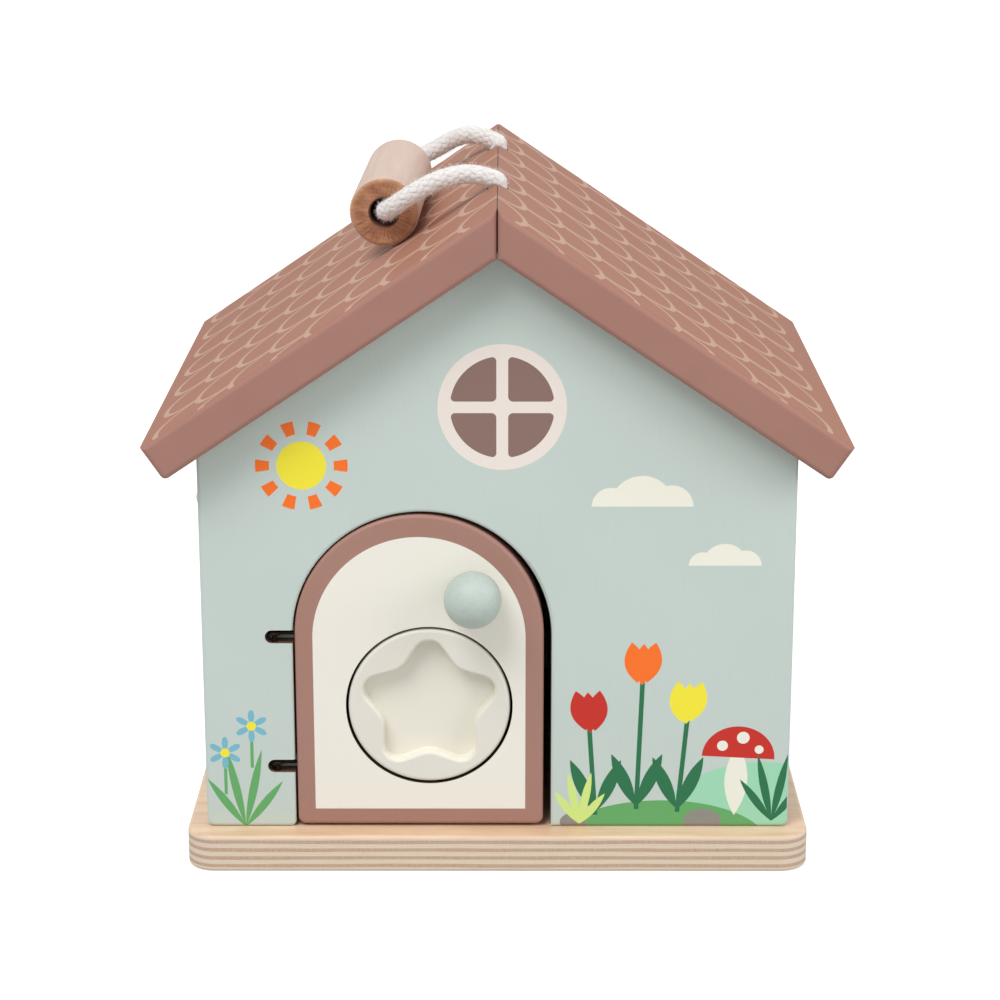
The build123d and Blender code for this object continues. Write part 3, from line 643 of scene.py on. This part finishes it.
# Painted light: the star's recess is coloured paler to offset the shade in it.
star_recess_painted_light = (dial.y > STAR_FRONT) & (dial.y < STAR_FLOOR) & (from_axis < STAR_REACH)
dial.colour = dial.mix(star_recess_painted_light, dial.colour, shade("E9E5D8"))
dial.lay(dial.colour, dial.roughness, dial.height, 0.03)
dress("star_dial", dial)
dress("dial_washer", zinc)
axle_screw = screw.make(
    "dial_screw_driven",
    zinc,
    [(-0.0214, -0.0597, 0.0528)],
    Head_Radius=0.0035,
    Neck_Radius=0.0035,
    Head_Height=0.0022,
    Crown=0.0045,
    Shank_Radius=0.0015,
    Shank_Length=0.014,
    Pitch=0.0012,
    Facing=(0.0, 1.0, 0.0),
)
put(soften(axle_screw), "dial", "steel", "dial_screw")

# The rope. One length of limp braided cotton, 6 mm thick, that runs from the front hole in the ridge through
# the grip to the back hole, and can swing over the ridge. Sixteen yarns are braided round a core.
ROPE, ROPE_ROUND = 6.0, 0.0026
ROPE_ROUTE = [
    (0.0, -41.0, 212.2), (-6.9, -42.6, 215.3), (-17.0, -45.2, 214.0), (-25.8, -46.2, 209.6),
    (-32.4, -44.4, 204.8), (-35.2, -38.8, 202.0), (-35.2, -31.0, 202.1), (-35.4, -17.0, 201.6),
    (-34.6, 5.0, 202.1), (-33.8, 20.0, 202.9), (-33.4, 30.5, 203.4), (-32.6, 39.2, 203.9),
    (-29.0, 45.6, 205.6), (-22.0, 48.4, 208.6), (-14.6, 47.2, 213.2), (-6.9, 43.6, 215.3),
    (0.0, 41.0, 212.2),
]  # fmt: skip
cotton = Finish(
    "braided_cotton",
    Sheen_Weight=0.3,
    Sheen_Roughness=0.6,
    Subsurface_Weight=0.35,
    Subsurface_Scale=0.0012,
    Subsurface_Radius=(1.0, 0.9, 0.8),
    Specular_IOR_Level=0.15,
)
hair = cotton.cloud((0.22, 0.22, 0.22), 3.0)
soil = cotton.cloud((7.0, 7.0, 7.0), 2.0)
cotton_colour = cotton.mix(cotton.span(hair, 0.3, 0.75), shade("F5EEE8"), shade("FCFAF8"))
cotton_colour = cotton.mix(cotton.span(soil, 0.55, 0.8) * 0.35, cotton_colour, shade("E6DDD3"))
cotton.lay(cotton_colour, 0.9 + 0.05 * hair, hair, 0.12)


def spline_points(name, points, order=3, steps=24):
    """The smooth line that a NURBS spline with these control points, in mm, draws: its points in metres."""
    data = bpy.data.curves.new(name, "CURVE")
    data.dimensions, data.resolution_u = "3D", steps
    spline = data.splines.new("NURBS")
    spline.points.add(len(points) - 1)
    for place, point in zip(spline.points, points):
        place.co = (*(c / 1000 for c in point), 1.0)
    spline.order_u, spline.use_endpoint_u = order, True
    drawn = bpy.data.objects.new(name, data)
    bpy.context.scene.collection.objects.link(drawn)
    mesh = bpy.data.meshes.new_from_object(drawn)
    line = [v.co.copy() for v in mesh.vertices]
    bpy.data.objects.remove(drawn)
    return line


braid = Maker(
    "braid",
    ("Yarns", "Middle Radius", "Weave", "Yarn Width", "Yarn Depth", "Core Radius")
    + ("Lay", "Step", "Round Start", "Round End"),
)
given = braid.given
path = braid.node("GeometryNodeMeshToCurve", {}, {0: given})
path = braid.node("GeometryNodeResampleCurve", {"mode": "LENGTH"}, {"Curve": path, "Length": given["Step"]})
path = braid.node("GeometryNodeSetCurveNormal", {"mode": "MINIMUM_TWIST"}, {0: path})
gone = braid.node("GeometryNodeSplineParameter", out="Length")
left = braid.node("GeometryNodeSplineLength", out="Length") - gone
near_start = (gone / given["Round Start"]).of("MINIMUM", 1.0)
near_end = (left / given["Round End"]).of("MINIMUM", 1.0)
full = (near_start * (2 - near_start) * near_end * (2 - near_end)).of("SQRT")
core_path = braid.node("GeometryNodeSetCurveRadius", {}, {"Curve": path, "Radius": full | 0.02})
copies = braid.node("GeometryNodeDuplicateElements", {"domain": "SPLINE"}, {0: path, "Amount": given["Yarns"]})
number = copies["Duplicate Index"]
sense = (number % 2.0) * 2 - 1
each_way = given["Yarns"] * 0.5
angle = gone / given["Lay"] * (2 * math.pi)
turned = angle * sense + math.floor(number * 0.5) / each_way * (2 * math.pi)
out = (given["Middle Radius"] + given["Weave"] * sense * (angle * each_way).of("COSINE")) * full
normal = braid.node("GeometryNodeInputNormal")
tangent = braid.node("GeometryNodeInputTangent")
side = braid.node("ShaderNodeVectorMath", {"operation": "CROSS_PRODUCT"}, {0: tangent, 1: normal})
outward = braid.node("ShaderNodeVectorMath", {"operation": "SCALE"}, {0: normal, "Scale": turned.of("COSINE")})
sideward = braid.node("ShaderNodeVectorMath", {"operation": "SCALE"}, {0: side, "Scale": turned.of("SINE")})
outward = braid.node("ShaderNodeVectorMath", {"operation": "ADD"}, {0: outward, 1: sideward})
yarns = braid.node("GeometryNodeSetCurveRadius", {}, {"Curve": copies, "Radius": full * 0.5 + 0.5})
yarns = braid.node(
    "GeometryNodeStoreNamedAttribute",
    {"data_type": "FLOAT_VECTOR"},
    {"Geometry": yarns, "Name": "outward", "Value": outward},
)
outward = braid.node("GeometryNodeInputNamedAttribute", {"data_type": "FLOAT_VECTOR"}, {"Name": "outward"})
shift = braid.node("ShaderNodeVectorMath", {"operation": "SCALE"}, {0: outward, "Scale": out})
yarns = braid.node("GeometryNodeSetPosition", {}, {"Geometry": yarns, "Offset": shift})
yarns = braid.node("GeometryNodeSetCurveNormal", {"mode": "FREE"}, {"Curve": yarns, "Normal": outward})
yarn_form = braid.node("GeometryNodeCurvePrimitiveCircle", {}, {"Resolution": 10, "Radius": 1.0})
yarn_form = braid.moved(yarn_form, Scale=braid.triple(given["Yarn Depth"], given["Yarn Width"], 1.0))
core_form = braid.node("GeometryNodeCurvePrimitiveCircle", {}, {"Resolution": 16, "Radius": given["Core Radius"]})
width = braid.node("GeometryNodeInputRadius")
covered = [
    braid.node(
        "GeometryNodeCurveToMesh", {}, {"Curve": line, "Profile Curve": form, "Scale": width, "Fill Caps": True}
    )
    for line, form in ((yarns, yarn_form), (core_path, core_form))
]
whole = braid.node("GeometryNodeJoinGeometry", {}, {0: covered})
braid.close(braid.node("GeometryNodeSetShadeSmooth", {}, {0: whole, "Shade Smooth": True}))

fuzz = Maker("fuzz", ("Hairs", "Hair Length", "Hair Radius"))
given = fuzz.given
roots = fuzz.node(
    "GeometryNodeDistributePointsOnFaces",
    {"distribute_method": "RANDOM"},
    {0: given, "Density": given["Hairs"], "Seed": 5},
)
long = given["Hair Length"]
bent = fuzz.node(
    "GeometryNodeCurveQuadraticBezier",
    {},
    {
        "Resolution": 3,
        "Middle": fuzz.triple(0.0, long * 0.1, long * 0.6),
        "End": fuzz.triple(0.0, long * 0.5, long * 0.8),
    },
)
bent.socket.node.inputs["Start"].default_value = (0.0, 0.0, 0.0)
hair_form = fuzz.node("GeometryNodeCurvePrimitiveCircle", {}, {"Resolution": 3, "Radius": given["Hair Radius"]})
one_hair = fuzz.node("GeometryNodeCurveToMesh", {}, {"Curve": bent, "Profile Curve": hair_form, "Fill Caps": True})
lean = fuzz.node(
    "FunctionNodeRandomValue", {"data_type": "FLOAT_VECTOR"}, {0: (-1.1, -1.1, -3.14), 1: (1.1, 1.1, 3.14), "Seed": 8}
)
size = fuzz.node("FunctionNodeRandomValue", {"data_type": "FLOAT"}, {2: 0.4, 3: 1.3, "Seed": 11}, 1)
lie = fuzz.node("FunctionNodeRotateRotation", {"rotation_space": "LOCAL"}, {0: roots["Rotation"], 1: lean})
hairs = {"Points": roots, "Instance": one_hair, "Rotation": lie, "Scale": size}
fuzz.close(fuzz.node("GeometryNodeInstanceOnPoints", {}, hairs))


def plaited(name, line, round_start=0.0001, round_end=0.0001, yarns=16, core=0.00268):
    """The braided rope along a line of points, in metres, with its ends rounded over these lengths."""
    return braid.make(
        name,
        cotton,
        line,
        Yarns=float(yarns),
        Middle_Radius=0.00257,
        Weave=0.00010,
        Yarn_Width=0.00092,
        Yarn_Depth=0.00036,
        Core_Radius=core,
        Lay=0.030,
        Step=0.0004,
        Round_Start=round_start,
        Round_End=round_end,
    )


def fuzzy(name, *route):
    """The short loose fibres that stand off the rope along a line of points, in metres."""
    tube = plaited(name + "_roots", *route, yarns=0, core=0.00275)
    made = fuzz.make(name, cotton, tube.data, Hairs=3.2e6, Hair_Length=0.0013, Hair_Radius=0.000026)
    bpy.data.objects.remove(tube)
    return made


rope_line = spline_points("rope_route", ROPE_ROUTE)
rope_ends = [Vector((x / 1000, y / 1000, z / 1000 - ROPE_ROUND)) for x, y, z in (ROPE_ROUTE[0], ROPE_ROUTE[-1])]
rope_run = ([rope_ends[0], *rope_line, rope_ends[1]], ROPE_ROUND, ROPE_ROUND)
rope = put(plaited("rope_braid", *rope_run), "handle", "cotton_rope", "rope")
rope_fuzz = put(fuzzy("rope_fuzz", *rope_run), "handle", "cotton_rope")

# The rope's ends. Each goes down through its hole in the ridge and ends under the roof in a tight overhand
# knot, which is wider than the hole and can't be pulled through. Loose fibres stand off it below the hole.
HOLE_OUT, KNOT_HEIGHT, KNOT_RADIUS, KNOT_BULGE, HOLE_FOOT = 41.0, 187.6, 3.4, 0.32, 0.2
for side, node in ((-1, "rope_tail_front"), (1, "rope_tail_back")):
    middle = (0.0, HOLE_OUT * side, KNOT_HEIGHT)
    knot = [(0.0, 0.0, 27.0), (0.0, 0.0, 22.0), (0.0, 0.0, 13.0), (0.4, 0.2, 7.0)]
    for a in (0.5 * i for i in range(1, 25)):
        reach = KNOT_RADIUS * (1 + KNOT_BULGE * math.cos(1.5 * a))
        knot.append((reach * math.cos(a), reach * math.sin(a), KNOT_RADIUS * math.sin(1.5 * a) - 0.2 * a))
    knot += [(0.3, 0.3, -5.0), (0.0, 0.0, -9.0), (0.2, 0.1, -13.6)]
    line = spline_points("tail_route", [tuple(m + k for m, k in zip(middle, p)) for p in knot])
    put(plaited(node + "_knotted", line, ROPE_ROUND), "house", "cotton_rope", node)
    put(fuzzy(node + "_fuzz", [p for p in line if p.z < HOLE_FOOT]), "house", "cotton_rope")

# The grip. Turned beech with a clear oil, bored for the rope. Its side shows fine grain and short flecks
# along it, and its ends the darker rings and rays of the end grain. The rim of each end is painted lighter, a
# painted highlight on its rounded edge, and the bore is painted dark, painted shade inside the hole.
GRIP_MIDDLE, GRIP_AXIS = Vector((-34.6153, 0.499664, 202.282)), Vector((0.030379, 0.999328, 0.020491))
PITH_X, PITH_Z, RING_STEP, BORE_REACH = -6.0, -26.0, 1.25, 5.0
grip = Finish("oiled_beech", Coat_Weight=0.08, Coat_Roughness=0.4, Specular_IOR_Level=0.35)
lie = GRIP_AXIS.to_track_quat("Y", "Z").to_euler()
own = grip.node(
    "ShaderNodeMapping",
    {"vector_type": "TEXTURE"},
    {"Vector": grip.mm, "Location": GRIP_MIDDLE, "Rotation": lie, "Scale": (1.0, 1.0, 1.0)},
)
own_parts = grip.node("ShaderNodeSeparateXYZ", {}, {0: own})
off_axis = grip.length(grip.joined(own_parts, own_parts["Z"], 0.0))
fleck = grip.span(grip.cloud((0.2, 2.2, 0.35), 1.0, spot=own), 0.64, 0.74)
grip_figure = grip.cloud((5.0, 60.0, 3.0), 2.0, spot=own)
fine = grip.cloud((0.35, 16.0, 0.35), 2.0, spot=own)
side_colour = grip.mix(grip.span(grip_figure, 0.3, 0.7), shade("D4BEB2"), shade("CAB0A1"))
side_colour = grip.mix(grip.span(fine, 0.5, 0.8) * 0.3, side_colour, shade("BF9E8B"))
side_colour = grip.mix(fleck * 0.25, side_colour, shade("B08E7A"))
from_pith = grip.joined(own_parts - PITH_X, 0.0, own_parts["Z"] - PITH_Z)
ring = grip.length(from_pith) + (grip.cloud((5.0, 40.0, 5.0), 2.0, spot=own) - 0.5) * 1.2
ring_line = ((ring / RING_STEP) % 1.0) ** 3
end_patch = grip.cloud((6.5, 30.0, 4.5), 2.0, (3.0, 0.0, 0.0), own)
end_colour = grip.mix(grip.span(end_patch, 0.35, 0.62), shade("C18E69"), shade("97644A"))
end_colour = grip.mix(ring_line * 0.5, end_colour, shade("8C5B42"))
bearing = own_parts["Z"].of("ARCTAN2", own_parts)
ray_spot = grip.joined(bearing * 5.5, 0.0, off_axis * 0.16)
ray_line = grip.span(grip.cloud((0.42, 1.0, 1.0), 2.0, spot=ray_spot), 0.54, 0.66)
end_colour = grip.mix(ray_line * 0.6, end_colour, shade("6F4530"))
end_pore = grip.span(grip.cloud((0.3, 30.0, 0.3), 1.0, spot=own), 0.6, 0.75)
end_colour = grip.mix(end_pore * 0.4, end_colour, shade("7A4E38"))
facing = grip.joined(grip.facing, grip.facing["Y"], grip.facing["Z"])
end_on = grip.span(abs(grip.vector("DOT_PRODUCT", facing, tuple(GRIP_AXIS), "Value")), 0.5, 0.75)
# Painted highlight: a lighter band round the rim of each end.
rim_highlight_share = grip.span(off_axis, 8.6, 10.6)
end_colour = grip.mix(rim_highlight_share * 0.45, end_colour, shade("CC9C76"))
# Painted shade: dark brown inside the bore and round its mouth.
bore_shade = off_axis < BORE_REACH
end_colour = grip.mix(bore_shade, end_colour, shade("6A4634"))
grip.lay(
    grip.mix(end_on | bore_shade, side_colour, end_colour),
    0.5 + 0.12 * grip_figure,
    fine * 0.4 - fleck * 0.3 - (ring_line * 0.4 + ray_line * 0.6) * end_on,
    0.05,
)
dress("grip", grip)
